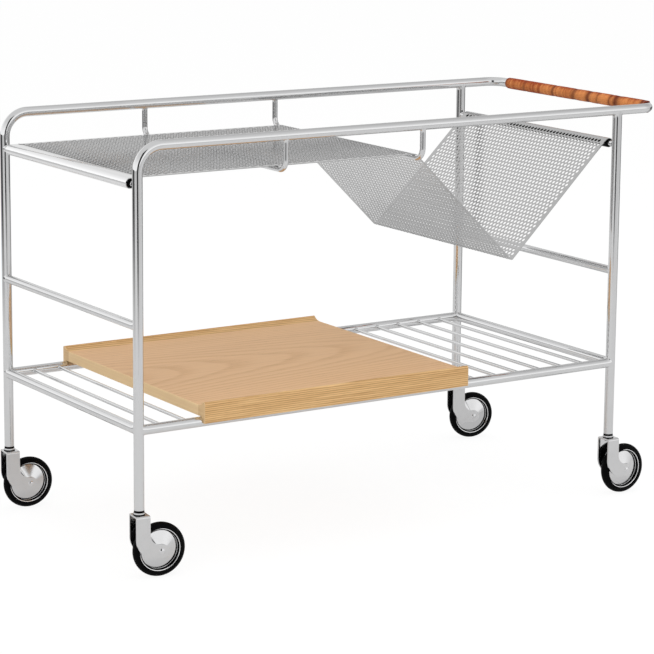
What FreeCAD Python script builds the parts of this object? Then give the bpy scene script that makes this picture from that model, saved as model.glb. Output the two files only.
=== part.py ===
import FreeCAD, Part
import math
import os

# Storage trolley on four swivel casters: a bent tube frame with a leather-wrapped
# handle, a folded sheet shelf with a V-shaped magazine pocket, a wire shelf low
# down, and a sliding oak tray on the lower rails.
# Millimetres. X runs along the trolley towards the handle, Y from front to rear,
# Z up, with the origin on the floor under the middle of the frame.

V = FreeCAD.Vector
Y_AXIS = V(0, 1, 0)
Z_AXIS = V(0, 0, 1)

# Frame tubes
LEG_SPACING = 800.0        # left leg axis to right leg axis
FRAME_WIDTH = 396.0        # front leg axis to rear leg axis
HANDLE_REACH = 70.0        # right leg axis to handle axis
TOP_RAIL_Z = 584.0         # axis heights above the floor
MID_BAR_Z = 344.0
LOW_RAIL_Z = 204.0
LEG_FOOT_Z = 95.0          # cut end of each leg
TUBE_OD = 14.0
TUBE_WALL = 1.5
MID_BAR_OD = 12.0
LEG_BEND_R = 35.0          # bends on the tube's axis
HANDLE_BEND_R = 24.0

# Rods that carry the sheet shelf, and the wires of the low shelf
ROD_OD = 8.0
ROD_DROP = 48.0            # top rail axis down to the hanger rods' axis
MIDDLE_HANGER_FROM_LEFT = 227.0     # both hanger rods, from the left leg axis
POCKET_HANGER_FROM_LEFT = 452.0
HANGER_BEND_R = 15.0
WIRE_OD = 5.0
WIRE_COUNT = 19

# Folded sheet shelf
SHEET_THICKNESS = 1.0
SHEET_SIDE_GAP = 11.0      # sheet's front and rear edges to the legs
ROLL_INNER_R = 6.6         # rolled edges round the end rods
LEFT_ROLL_WRAP = 265.0     # degrees of roll past the flat shelf
RIGHT_ROLL_WRAP = 205.0    # degrees of roll past the pocket's side
POCKET_ANGLE = 44.3        # slope of both pocket sides, degrees
POCKET_FOLD_R = 1.5        # inside radius of the pocket's bottom fold
BUSH_LENGTH = 15.0         # plastic bushes that centre the rolls on the end rods

# Plain grid of openings that stands for the sheet's small holes, with the same open share
GRID_ACROSS = 12           # openings from front to rear
GRID_SHELF_ROWS = 12       # rows on the flat shelf
GRID_POCKET_ROWS = 6       # rows on each side of the pocket
GRID_BAR = 9.0             # sheet left between two openings
GRID_MARGIN = 10.0         # sheet left plain beside edges, folds and rolls

# Oak tray
TRAY_FROM_LEFT = 94.5      # left leg axis to the tray's left end
TRAY_LENGTH = 436.0
TRAY_CLEARANCE = 0.3       # tray to rail
BOARD_THICKNESS = 14.7
LIP_WIDTH = 17.0
LIP_RISE = 6.0             # above the board
LIP_DROP = 8.3             # skirt below the board
SKIRT_THICKNESS = 3.2      # outside the rail
LIP_TOP_FLAT = 1.0
LIP_TOP_R = 3.0
BOARD_EDGE_R = 1.5

# Leather wrap on the handle
WRAP_THICKNESS = 1.8
WRAP_LENGTH = 346.0
WRAP_EDGE_R = 0.7

# Caster top: plastic socket in the leg, riveted stem and raceway
SOCKET_DEPTH = 25.0
SOCKET_FLANGE = 3.0
STEM_OD = 8.0
STEM_LENGTH = 20.0         # inside the socket
COLLAR_OD = 15.5
COLLAR_HEIGHT = 2.1
RACEWAY_OD = 16.0
RACEWAY_HEIGHT = 1.0
NECK_OD = 9.0
RIVET_OD = 13.0
RIVET_HEIGHT = 2.5
SWIVEL_CLEARANCE = 0.3     # fork to what stands still above and below it
RUNNING_FIT = 0.05         # radial, of neck in fork and of axle in hub

# Caster fork
CASTER_TRAIL = 28.0
FORK_PLATE = 2.5
FORK_GAP = 21.0
CROWN_REAR = 9.0           # swivel axis back to the crown's rear edge
CROWN_FRONT = 11.0         # swivel axis to the crown's edge over the wheel
CROWN_CORNER_R = 3.2       # where the crown turns down into the arms
ARM_BOSS_R = 9.5           # round end of each arm about the axle
ARM_HEEL_R = 28.0          # rear curve of each arm
ARM_NECK_FLAT = 2.0        # short flat between the front curve and the boss

# Caster wheel
WHEEL_D = 75.0
TYRE_WIDTH = 17.0
TYRE_SEAT_R = 25.0
RIM_R = 30.2               # edge of the tyre's recess that the trim rings sit in
WELL_R = 28.4              # edge of the deeper well round the cover discs
WELL_DEPTH = 2.5           # trim ring's seat down to the well's floor
HUB_WIDTH = 4.0            # web between the two cover discs
HUB_BOSS_OD = 12.0
HUB_END_CLEARANCE = 0.3    # hub boss to fork arm
AXLE_OD = 6.0
AXLE_HEAD_OD = 8.4
AXLE_HEAD_HEIGHT = 1.5
TRIM_EDGE_GAP = 0.2        # trim ring to tyre
TRIM_HEIGHT = 1.0
DISC_EDGE_GAP = 1.8        # cover disc to the well's wall
DISC_PLATE = 1.0           # sheet that the discs are pressed from
DISC_CONE_TOP_HEIGHT = 7.1  # over the hub's web
DISC_CONE_TOP_R = 9.0

# Where each caster points at rest, in degrees from +X
CASTER_YAW = {
    "front_left": -6.0,
    "rear_left": -4.0,
    "front_right": 0.0,
    "rear_right": -11.0,
}

# Values worked out from the sizes above
LEFT_X = -(LEG_SPACING + HANDLE_REACH) / 2
RIGHT_X = LEFT_X + LEG_SPACING
HANDLE_X = RIGHT_X + HANDLE_REACH
FRONT_Y = -FRAME_WIDTH / 2
REAR_Y = FRAME_WIDTH / 2
TUBE_R = TUBE_OD / 2
BORE_R = TUBE_R - TUBE_WALL
ROD_R = ROD_OD / 2
ROD_Z = TOP_RAIL_Z - ROD_DROP
SHEET_UNDER_Z = ROD_Z + ROD_R
SHEET_WIDTH = FRAME_WIDTH - TUBE_OD - 2 * SHEET_SIDE_GAP
ROLL_Z = SHEET_UNDER_Z - ROLL_INNER_R
MIDDLE_HANGER_X = LEFT_X + MIDDLE_HANGER_FROM_LEFT
POCKET_HANGER_X = LEFT_X + POCKET_HANGER_FROM_LEFT
BOARD_Z = LOW_RAIL_Z + TUBE_R + TRAY_CLEARANCE
TRAY_X = LEFT_X + TRAY_FROM_LEFT
TRAY_HALF_WIDTH = REAR_Y + TUBE_R + TRAY_CLEARANCE + SKIRT_THICKNESS
COLLAR_Z = LEG_FOOT_Z - SOCKET_FLANGE
RACEWAY_TOP_Z = COLLAR_Z - COLLAR_HEIGHT
CROWN_TOP_Z = RACEWAY_TOP_Z - RACEWAY_HEIGHT - SWIVEL_CLEARANCE
CROWN_UNDER_Z = CROWN_TOP_Z - FORK_PLATE
AXLE_Z = WHEEL_D / 2
LEG_PLACES = {
    "front_left": (LEFT_X, FRONT_Y),
    "rear_left": (LEFT_X, REAR_Y),
    "front_right": (RIGHT_X, FRONT_Y),
    "rear_right": (RIGHT_X, REAR_Y),
}
OVERRUN = 1.0              # how far a cutting tool passes a face
SAME_PLACE = 1e-6          # two points or heights closer than this are one


def bar(start, end, radius):
    """Round solid bar between two points."""
    run = end - start
    return Part.makeCylinder(radius, run.Length, start, run)


def line(start, end):
    """Straight edge."""
    return Part.LineSegment(start, end).toShape()


def arc_xz(centre_x, centre_z, radius, from_deg, to_deg, y=0.0):
    """Arc edge in an XZ plane, angles from +X towards +Z."""
    def at(deg):
        turn = math.radians(deg)
        return V(centre_x + radius * math.cos(turn), y, centre_z + radius * math.sin(turn))
    return Part.Arc(at(from_deg), at((from_deg + to_deg) / 2), at(to_deg)).toShape()


def closed_face(edges):
    """Face inside a closed run of edges; gaps between neighbours become straight edges."""
    run = []
    for i, edge in enumerate(edges):
        run.append(edge)
        end = edge.lastVertex(True).Point
        start = edges[(i + 1) % len(edges)].firstVertex(True).Point
        if end.distanceToPoint(start) > SAME_PLACE:
            run.append(line(end, start))
    return Part.Face(Part.Wire(run))


def outline_face(points):
    """Face inside straight edges through the points."""
    return Part.Face(Part.makePolygon(points + points[:1]))


def swept_rod(edges, radius):
    """Round rod along a smooth run of edges."""
    path = Part.Wire(edges)
    first = edges[0]
    start = first.valueAt(first.FirstParameter)
    heading = first.tangentAt(first.FirstParameter)
    ring = Part.Wire(Part.makeCircle(radius, start, heading))
    return path.makePipeShell([ring], True, False)


def leg_bar(place):
    """Solid bar that fills one leg, for coping what meets it."""
    x, y = place
    return bar(V(x, y, LEG_FOOT_Z), V(x, y, TOP_RAIL_Z), TUBE_R)


def long_rail(y, z, radius=TUBE_R):
    """Solid bar along X from left leg axis to right leg axis."""
    return bar(V(LEFT_X, y, z), V(RIGHT_X, y, z), radius)


def cross_bar(x, z, radius):
    """Solid bar along Y from front leg axis to rear leg axis."""
    return bar(V(x, FRONT_Y, z), V(x, REAR_Y, z), radius)


def end_legs(x):
    """Both leg bars of one end."""
    return [leg_bar((x, FRONT_Y)), leg_bar((x, REAR_Y))]


def hoop_path():
    """Axis of the bent tube: left leg, front rail, handle, rear rail, left leg."""
    top = TOP_RAIL_Z
    drop = TOP_RAIL_Z - LEG_BEND_R
    turn = LEFT_X + LEG_BEND_R
    corner = HANDLE_X - HANDLE_BEND_R
    cut_leg = LEG_BEND_R * (1 - math.sqrt(0.5))
    cut_handle = HANDLE_BEND_R * (1 - math.sqrt(0.5))

    def leg_bend(y):
        return (V(LEFT_X, y, drop), V(LEFT_X + cut_leg, y, top - cut_leg), V(turn, y, top))

    def handle_bend(y, inwards):
        return (
            V(corner, y, top),
            V(HANDLE_X - cut_handle, y + inwards * cut_handle, top),
            V(HANDLE_X, y + inwards * HANDLE_BEND_R, top),
        )

    front_leg = leg_bend(FRONT_Y)
    front_corner = handle_bend(FRONT_Y, 1)
    rear_corner = handle_bend(REAR_Y, -1)
    rear_leg = leg_bend(REAR_Y)
    return [
        line(V(LEFT_X, FRONT_Y, LEG_FOOT_Z), front_leg[0]),
        Part.Arc(*front_leg).toShape(),
        line(front_leg[2], front_corner[0]),
        Part.Arc(*front_corner).toShape(),
        line(front_corner[2], rear_corner[2]),
        Part.Arc(*reversed(rear_corner)).toShape(),
        line(rear_corner[0], rear_leg[2]),
        Part.Arc(*reversed(rear_leg)).toShape(),
        line(rear_leg[0], V(LEFT_X, REAR_Y, LEG_FOOT_Z)),
    ]


def main_hoop():
    """One bent tube that makes both left legs, both top rails and the handle."""
    edges = hoop_path()
    return swept_rod(edges, TUBE_R).cut(swept_rod(edges, BORE_R))


def right_leg(y):
    """Straight leg tube, saddled to the underside of its top rail."""
    tube = leg_bar((RIGHT_X, y)).cut(bar(V(RIGHT_X, y, LEG_FOOT_Z), V(RIGHT_X, y, TOP_RAIL_Z), BORE_R))
    rail = bar(V(LEFT_X, y, TOP_RAIL_Z), V(HANDLE_X, y, TOP_RAIL_Z), TUBE_R)
    return tube.cut(rail)


def coped_cross_tube(x, z, outer_r, neighbours=()):
    """Cross tube of one end, coped to both legs and to any rails that meet it there."""
    tube = cross_bar(x, z, outer_r).cut(cross_bar(x, z, outer_r - TUBE_WALL))
    return tube.cut(end_legs(x) + list(neighbours))


def low_rail(y):
    """Lower side rail, coped to its left and right leg."""
    tube = long_rail(y, LOW_RAIL_Z).cut(long_rail(y, LOW_RAIL_Z, BORE_R))
    return tube.cut([leg_bar((LEFT_X, y)), leg_bar((RIGHT_X, y))])


def low_wires():
    """Cross wires of the low shelf, butted between the lower rails."""
    rails = [long_rail(FRONT_Y, LOW_RAIL_Z), long_rail(REAR_Y, LOW_RAIL_Z)]
    pitch = LEG_SPACING / (WIRE_COUNT + 1)
    wires = []
    for i in range(WIRE_COUNT):
        wire = cross_bar(LEFT_X + pitch * (i + 1), LOW_RAIL_Z, WIRE_OD / 2)
        wires.append(wire.cut(rails).Solids[0])
    return Part.makeCompound(wires)


def hanger_rod(x):
    """U-shaped rod that hangs from both top rails and runs under the sheet."""
    up = ROD_Z + HANGER_BEND_R
    cut = HANGER_BEND_R * (1 - math.sqrt(0.5))
    front_in = FRONT_Y + HANGER_BEND_R
    rear_in = REAR_Y - HANGER_BEND_R
    edges = [
        line(V(x, FRONT_Y, TOP_RAIL_Z), V(x, FRONT_Y, up)),
        Part.Arc(V(x, FRONT_Y, up), V(x, FRONT_Y + cut, ROD_Z + cut), V(x, front_in, ROD_Z)).toShape(),
        line(V(x, front_in, ROD_Z), V(x, rear_in, ROD_Z)),
        Part.Arc(V(x, rear_in, ROD_Z), V(x, REAR_Y - cut, ROD_Z + cut), V(x, REAR_Y, up)).toShape(),
        line(V(x, REAR_Y, up), V(x, REAR_Y, TOP_RAIL_Z)),
    ]
    rails = [long_rail(FRONT_Y, TOP_RAIL_Z), long_rail(REAR_Y, TOP_RAIL_Z)]
    return swept_rod(edges, ROD_R).cut(rails)


def grid_openings(start, end, rows):
    """Cutting tools for the openings in one flat stretch of the sheet.

    The stretch's underside runs from start to end along the sheet's front edge.
    """
    along = (end - start).normalize()
    upwards = along.cross(Y_AXIS)
    row_pitch = (start.distanceToPoint(end) - 2 * GRID_MARGIN + GRID_BAR) / rows
    column_pitch = (SHEET_WIDTH - 2 * GRID_MARGIN + GRID_BAR) / GRID_ACROSS
    length = along * (row_pitch - GRID_BAR)
    width = Y_AXIS * (column_pitch - GRID_BAR)
    depth = upwards * (SHEET_THICKNESS + 2 * OVERRUN)
    first = start + (along + Y_AXIS) * GRID_MARGIN - upwards * OVERRUN
    tools = []
    for row in range(rows):
        for column in range(GRID_ACROSS):
            corner = first + along * (row * row_pitch) + Y_AXIS * (column * column_pitch)
            opening = outline_face([corner, corner + length, corner + length + width, corner + width])
            tools.append(opening.extrude(depth))
    return tools


def sheet_shelf():
    """Pierced sheet: left edge roll, flat shelf, V-shaped pocket and right edge roll."""
    slope = math.radians(POCKET_ANGLE)
    sin_a = math.sin(slope)
    cos_a = math.cos(slope)
    fold_x = POCKET_HANGER_X
    outer = POCKET_FOLD_R + SHEET_THICKNESS
    # The bottom fold's centre stands one outer radius inside both pocket sides.
    left_reach = sin_a * fold_x + cos_a * ROD_Z + ROD_R + outer
    right_reach = -sin_a * RIGHT_X + cos_a * ROLL_Z + ROLL_INNER_R + outer
    pocket_x = (left_reach - right_reach) / (2 * sin_a)
    pocket_z = (left_reach + right_reach) / (2 * cos_a)
    left_end = 90 + LEFT_ROLL_WRAP
    right_start = 90 + POCKET_ANGLE
    right_end = right_start - RIGHT_ROLL_WRAP
    low_left = 270 - POCKET_ANGLE
    low_right = 270 + POCKET_ANGLE
    fold_end = 90 - POCKET_ANGLE
    y = -SHEET_WIDTH / 2
    roll_outer = ROLL_INNER_R + SHEET_THICKNESS
    fold_outer = ROD_R + SHEET_THICKNESS
    underside = [
        arc_xz(LEFT_X, ROLL_Z, ROLL_INNER_R, left_end, 90, y),
        arc_xz(fold_x, ROD_Z, ROD_R, 90, fold_end, y),
        arc_xz(pocket_x, pocket_z, outer, low_left, low_right, y),
        arc_xz(RIGHT_X, ROLL_Z, ROLL_INNER_R, right_start, right_end, y),
    ]
    topside = [
        arc_xz(RIGHT_X, ROLL_Z, roll_outer, right_end, right_start, y),
        arc_xz(pocket_x, pocket_z, POCKET_FOLD_R, low_right, low_left, y),
        arc_xz(fold_x, ROD_Z, fold_outer, fold_end, 90, y),
        arc_xz(LEFT_X, ROLL_Z, roll_outer, 90, left_end, y),
    ]
    sheet = closed_face(underside + topside).extrude(V(0, SHEET_WIDTH, 0))
    tools = []
    for i, rows in enumerate((GRID_SHELF_ROWS, GRID_POCKET_ROWS, GRID_POCKET_ROWS)):
        start = underside[i].lastVertex(True).Point
        end = underside[i + 1].firstVertex(True).Point
        tools += grid_openings(start, end, rows)
    return sheet.cut(tools)


def roll_bush(x, side):
    """Plastic bush that centres a rolled edge on its end rod, flush with the sheet's side."""
    inner = V(x, side * (SHEET_WIDTH / 2 - BUSH_LENGTH), ROLL_Z)
    outer = V(x, side * SHEET_WIDTH / 2, ROLL_Z)
    return bar(inner, outer, ROLL_INNER_R).cut(bar(inner, outer, ROD_R))


def tray_board():
    """Flat oak board between the two lips, with eased end edges."""
    half = TRAY_HALF_WIDTH - LIP_WIDTH
    board = Part.makeBox(TRAY_LENGTH, 2 * half, BOARD_THICKNESS, V(TRAY_X, -half, BOARD_Z))
    top = BOARD_Z + BOARD_THICKNESS
    ends = [
        e for e in board.Edges
        if abs(e.CenterOfMass.z - top) < SAME_PLACE and abs(e.CenterOfMass.y) < SAME_PLACE
    ]
    return board.makeFillet(BOARD_EDGE_R, ends)


def tray_lip(side):
    """Moulded lip along one side: cove above the board, skirt outside the rail below it."""
    outer = TRAY_HALF_WIDTH
    inner = outer - LIP_WIDTH
    board_top = BOARD_Z + BOARD_THICKNESS
    top = board_top + LIP_RISE
    foot = BOARD_Z - LIP_DROP
    seat_r = TUBE_R + TRAY_CLEARANCE
    cove_end = outer - LIP_TOP_R - LIP_TOP_FLAT
    reach = cove_end - inner
    cove_r = (reach ** 2 + LIP_RISE ** 2) / (2 * LIP_RISE)
    cove_half = math.asin(reach / cove_r) / 2
    eased = LIP_TOP_R * (1 - math.sqrt(0.5))
    seat_cut = seat_r * math.sqrt(0.5)

    def at(y, z):
        return V(TRAY_X, side * y, z)

    cove_middle = at(inner + cove_r * math.sin(cove_half), board_top + cove_r * (1 - math.cos(cove_half)))
    edges = [
        Part.Arc(
            at(REAR_Y, BOARD_Z),
            at(REAR_Y + seat_cut, LOW_RAIL_Z + seat_cut),
            at(REAR_Y + seat_r, LOW_RAIL_Z),
        ).toShape(),
        line(at(REAR_Y + seat_r, foot), at(outer, foot)),
        Part.Arc(
            at(outer, top - LIP_TOP_R),
            at(outer - eased, top - eased),
            at(outer - LIP_TOP_R, top),
        ).toShape(),
        Part.Arc(at(cove_end, top), cove_middle, at(inner, board_top)).toShape(),
        line(at(inner, board_top), at(inner, BOARD_Z)),
    ]
    return closed_face(edges).extrude(V(TRAY_LENGTH, 0, 0))


def handle_wrap():
    """Leather sleeve stitched round the handle bar."""
    start = V(HANDLE_X, -WRAP_LENGTH / 2, TOP_RAIL_Z)
    end = V(HANDLE_X, WRAP_LENGTH / 2, TOP_RAIL_Z)
    sleeve = bar(start, end, TUBE_R + WRAP_THICKNESS)
    rims = [e for e in sleeve.Edges if isinstance(e.Curve, Part.Circle)]
    return sleeve.makeFillet(WRAP_EDGE_R, rims).cut(bar(start, end, TUBE_R))


def caster_socket():
    """Plastic plug inside the leg's end, with a flange under it."""
    plug = bar(V(0, 0, LEG_FOOT_Z), V(0, 0, LEG_FOOT_Z + SOCKET_DEPTH), BORE_R)
    flange = bar(V(0, 0, COLLAR_Z), V(0, 0, LEG_FOOT_Z), TUBE_R)
    hole = bar(V(0, 0, COLLAR_Z), V(0, 0, COLLAR_Z + STEM_LENGTH), STEM_OD / 2)
    return plug.fuse(flange).cut(hole).removeSplitter()


def caster_stem():
    """Turned stem: shank in the socket, collar, neck that the fork turns on, riveted head."""
    head_top = CROWN_UNDER_Z - SWIVEL_CLEARANCE
    head_under = head_top - RIVET_HEIGHT
    profile = [
        V(0, 0, COLLAR_Z + STEM_LENGTH),
        V(STEM_OD / 2, 0, COLLAR_Z + STEM_LENGTH),
        V(STEM_OD / 2, 0, COLLAR_Z),
        V(COLLAR_OD / 2, 0, COLLAR_Z),
        V(COLLAR_OD / 2, 0, RACEWAY_TOP_Z),
        V(NECK_OD / 2, 0, RACEWAY_TOP_Z),
        V(NECK_OD / 2, 0, head_top),
        V(RIVET_OD / 2, 0, head_top),
        V(NECK_OD / 2, 0, head_under),
        V(0, 0, head_under),
    ]
    return outline_face(profile).revolve(V(0, 0, 0), Z_AXIS, 360)


def caster_raceway():
    """Bearing ring between the collar and the fork's crown."""
    under = RACEWAY_TOP_Z - RACEWAY_HEIGHT
    ring = bar(V(0, 0, under), V(0, 0, RACEWAY_TOP_Z), RACEWAY_OD / 2)
    return ring.cut(bar(V(0, 0, under), V(0, 0, RACEWAY_TOP_Z), NECK_OD / 2))


def fork_side():
    """Side outline of the fork: crown, swept-back arm and round boss about the axle."""
    rear = -CROWN_REAR
    front = CROWN_FRONT
    boss_top = AXLE_Z + ARM_BOSS_R
    boss_foot = AXLE_Z - ARM_BOSS_R
    sweep_r = CASTER_TRAIL - front - ARM_NECK_FLAT
    return [
        arc_xz(front + sweep_r, boss_top + sweep_r, sweep_r, 180, 270),
        arc_xz(CASTER_TRAIL, AXLE_Z, ARM_BOSS_R, 90, -90),
        arc_xz(rear + ARM_HEEL_R, boss_foot + ARM_HEEL_R, ARM_HEEL_R, 270, 180),
        line(V(rear, 0, CROWN_TOP_Z), V(front, 0, CROWN_TOP_Z)),
    ]


def fork_channel():
    """Bent plate of the fork before it is trimmed: an upside-down U along X."""
    outer_half = FORK_GAP / 2 + FORK_PLATE
    start = -CROWN_REAR - OVERRUN
    length = CASTER_TRAIL + ARM_BOSS_R + OVERRUN - start

    def arch(half, top, corner_r):
        block = Part.makeBox(length, 2 * half, top, V(start, -half, 0))
        shoulders = [
            e for e in block.Edges
            if abs(e.CenterOfMass.z - top) < SAME_PLACE and abs(abs(e.CenterOfMass.y) - half) < SAME_PLACE
        ]
        return block.makeFillet(corner_r, shoulders)

    outside = arch(outer_half, CROWN_TOP_Z, CROWN_CORNER_R)
    inside = arch(FORK_GAP / 2, CROWN_UNDER_Z, CROWN_CORNER_R - FORK_PLATE)
    return outside.cut(inside)


def caster_fork():
    """Pressed fork, turning about the neck and holding the axle in both arms."""
    half = FORK_GAP / 2 + FORK_PLATE + OVERRUN
    blank = closed_face(fork_side())
    blank.translate(V(0, -half, 0))
    fork = fork_channel().common(blank.extrude(V(0, 2 * half, 0)))
    neck_r = NECK_OD / 2 + RUNNING_FIT
    neck_hole = bar(V(0, 0, CROWN_UNDER_Z - OVERRUN), V(0, 0, CROWN_TOP_Z + OVERRUN), neck_r)
    axle_hole = bar(V(CASTER_TRAIL, -half, AXLE_Z), V(CASTER_TRAIL, half, AXLE_Z), AXLE_OD / 2)
    return fork.cut([neck_hole, axle_hole])


def turned_on_axle(points, arcs=()):
    """Solid turned about the axle from (radius, width) points; arcs bow the sides they start."""
    bows = dict(arcs)

    def at(radius, width):
        return V(CASTER_TRAIL, width, AXLE_Z + radius)

    edges = []
    for i, point in enumerate(points):
        end = points[(i + 1) % len(points)]
        if i in bows:
            edges.append(Part.Arc(at(*point), at(*bows[i]), at(*end)).toShape())
        else:
            edges.append(line(at(*point), at(*end)))
    return Part.Face(Part.Wire(edges)).revolve(V(CASTER_TRAIL, 0, AXLE_Z), Y_AXIS, 360)


def caster_axle():
    """Riveted axle with a low domed head outside each arm."""
    half = FORK_GAP / 2 + FORK_PLATE
    crown = half + AXLE_HEAD_HEIGHT
    head_r = AXLE_HEAD_OD / 2
    dome_r = (head_r ** 2 + AXLE_HEAD_HEIGHT ** 2) / (2 * AXLE_HEAD_HEIGHT)
    dome_half = math.asin(head_r / dome_r) / 2
    bow_r = dome_r * math.sin(dome_half)
    bow_w = crown - dome_r * (1 - math.cos(dome_half))
    points = [
        (0, -crown),
        (head_r, -half),
        (AXLE_OD / 2, -half),
        (AXLE_OD / 2, half),
        (head_r, half),
        (0, crown),
    ]
    return turned_on_axle(points, [(0, (bow_r, -bow_w)), (4, (bow_r, bow_w))])


def wheel_hub():
    """Moulded wheel centre with a long boss that runs on the axle."""
    bore = AXLE_OD / 2 + RUNNING_FIT
    boss_half = FORK_GAP / 2 - HUB_END_CLEARANCE
    half = HUB_WIDTH / 2
    return turned_on_axle([
        (bore, -boss_half),
        (HUB_BOSS_OD / 2, -boss_half),
        (HUB_BOSS_OD / 2, -half),
        (TYRE_SEAT_R, -half),
        (TYRE_SEAT_R, half),
        (HUB_BOSS_OD / 2, half),
        (HUB_BOSS_OD / 2, boss_half),
        (bore, boss_half),
    ])


def wheel_tyre():
    """Round-treaded rubber tyre with a stepped recess on each side for trim ring and cover disc."""
    tread_r = TYRE_WIDTH / 2
    middle_r = WHEEL_D / 2 - tread_r
    side = math.sqrt(tread_r ** 2 - (RIM_R - middle_r) ** 2)
    floor = HUB_WIDTH / 2
    seat = floor + WELL_DEPTH
    points = [
        (TYRE_SEAT_R, -floor),
        (WELL_R, -floor),
        (WELL_R, -seat),
        (RIM_R, -seat),
        (RIM_R, -side),
        (RIM_R, side),
        (RIM_R, seat),
        (WELL_R, seat),
        (WELL_R, floor),
        (TYRE_SEAT_R, floor),
    ]
    return turned_on_axle(points, [(4, (WHEEL_D / 2, 0))])


def trim_ring(side):
    """Bright half-round ring on the step of the tyre's recess."""
    seat = side * (HUB_WIDTH / 2 + WELL_DEPTH)
    outer = RIM_R - TRIM_EDGE_GAP
    crest = ((WELL_R + outer) / 2, seat + side * TRIM_HEIGHT)
    return turned_on_axle([(WELL_R, seat), (outer, seat)], [(1, crest)])


def cover_disc(side):
    """Pressed cover disc: a hollow cone that rises from the well's floor to the hub boss."""
    edge = WELL_R - DISC_EDGE_GAP
    steps = [
        (HUB_BOSS_OD / 2, DISC_CONE_TOP_HEIGHT - DISC_PLATE),
        (DISC_CONE_TOP_R, DISC_CONE_TOP_HEIGHT - DISC_PLATE),
        (edge, 0),
        (edge, DISC_PLATE),
        (DISC_CONE_TOP_R, DISC_CONE_TOP_HEIGHT),
        (HUB_BOSS_OD / 2, DISC_CONE_TOP_HEIGHT),
    ]
    return turned_on_axle([(radius, side * (HUB_WIDTH / 2 + height)) for radius, height in steps])


def caster_parts():
    """Shapes of one caster, with its swivel axis on the Z axis and its wheel trailing along +X."""
    return {
        "caster_socket": caster_socket(),
        "caster_stem": caster_stem(),
        "caster_raceway": caster_raceway(),
        "caster_fork": caster_fork(),
        "wheel_axle": caster_axle(),
        "wheel_hub": wheel_hub(),
        "wheel_tyre": wheel_tyre(),
        "wheel_trim_rings": Part.makeCompound([trim_ring(-1), trim_ring(1)]),
        "wheel_cover_discs": Part.makeCompound([cover_disc(-1), cover_disc(1)]),
    }


def frame_parts():
    """Shapes of the welded frame, the sheet shelf and the handle wrap."""
    low_rails = [long_rail(FRONT_Y, LOW_RAIL_Z), long_rail(REAR_Y, LOW_RAIL_Z)]
    parts = {
        "main_hoop": main_hoop(),
        "right_front_leg": right_leg(FRONT_Y),
        "right_rear_leg": right_leg(REAR_Y),
        "front_bottom_rail": low_rail(FRONT_Y),
        "rear_bottom_rail": low_rail(REAR_Y),
        "bottom_shelf_wires": low_wires(),
        "sheet_shelf": sheet_shelf(),
        "handle_wrap": handle_wrap(),
    }
    for end, x in (("left", LEFT_X), ("right", RIGHT_X)):
        parts[end + "_mid_crossbar"] = coped_cross_tube(x, MID_BAR_Z, MID_BAR_OD / 2)
        parts[end + "_bottom_crossbar"] = coped_cross_tube(x, LOW_RAIL_Z, TUBE_R, low_rails)
        parts[end + "_shelf_rod"] = cross_bar(x, ROLL_Z, ROD_R).cut(end_legs(x))
        parts[end + "_front_roll_bush"] = roll_bush(x, -1)
        parts[end + "_rear_roll_bush"] = roll_bush(x, 1)
    parts["middle_hanger_rod"] = hanger_rod(MIDDLE_HANGER_X)
    parts["pocket_hanger_rod"] = hanger_rod(POCKET_HANGER_X)
    return parts


def tray_parts():
    """Shapes of the sliding tray."""
    return {
        "tray_board": tray_board(),
        "tray_front_lip": tray_lip(-1),
        "tray_rear_lip": tray_lip(1),
    }


def all_parts():
    """Every node's shape in the trolley's frame."""
    parts = frame_parts()
    parts.update(tray_parts())
    for corner, place in LEG_PLACES.items():
        for name, shape in caster_parts().items():
            shape.rotate(V(0, 0, 0), Z_AXIS, CASTER_YAW[corner])
            shape.translate(V(place[0], place[1], 0))
            parts[corner + "_" + name] = shape
    return parts


os.makedirs("parts", exist_ok=True)
for node, shape in all_parts().items():
    shape.exportStep("parts/" + node + ".step")
    print(node, len(shape.Solids), "solids", round(shape.Volume, 1), "mm3", "valid", shape.isValid())
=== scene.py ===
"""Looks of the storage trolley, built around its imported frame.

The chrome frame gets smooth tubes with weld fillets, the folded shelf its punched
holes and the handle its sewn leather. The casters and the oak tray keep their
solids under detailed finishes. Metres, in the frame's own axes.
"""

import bisect
import logging
import math
from dataclasses import dataclass, field
from enum import Enum, IntEnum
from typing import Any, Iterable, Optional, Sequence, Union

import bmesh
import bpy
from bmesh.types import BMEdge, BMesh, BMLayerItem, BMVert
from mathutils import Matrix, Vector


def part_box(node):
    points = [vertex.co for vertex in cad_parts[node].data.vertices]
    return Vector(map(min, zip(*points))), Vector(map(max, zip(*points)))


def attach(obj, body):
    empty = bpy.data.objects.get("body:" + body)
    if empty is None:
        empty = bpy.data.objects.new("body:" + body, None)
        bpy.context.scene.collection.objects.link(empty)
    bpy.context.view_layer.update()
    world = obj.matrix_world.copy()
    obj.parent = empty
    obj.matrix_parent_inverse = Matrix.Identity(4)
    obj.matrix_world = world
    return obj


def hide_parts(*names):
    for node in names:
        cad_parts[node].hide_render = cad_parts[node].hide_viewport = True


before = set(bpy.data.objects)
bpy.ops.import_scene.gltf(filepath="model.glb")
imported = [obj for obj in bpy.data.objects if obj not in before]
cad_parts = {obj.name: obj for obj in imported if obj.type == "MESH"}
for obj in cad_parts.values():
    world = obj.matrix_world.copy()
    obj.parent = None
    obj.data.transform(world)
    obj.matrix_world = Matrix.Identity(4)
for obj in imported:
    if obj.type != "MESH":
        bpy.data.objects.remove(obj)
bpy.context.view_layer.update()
LOG = logging.getLogger("trolley")

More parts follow.
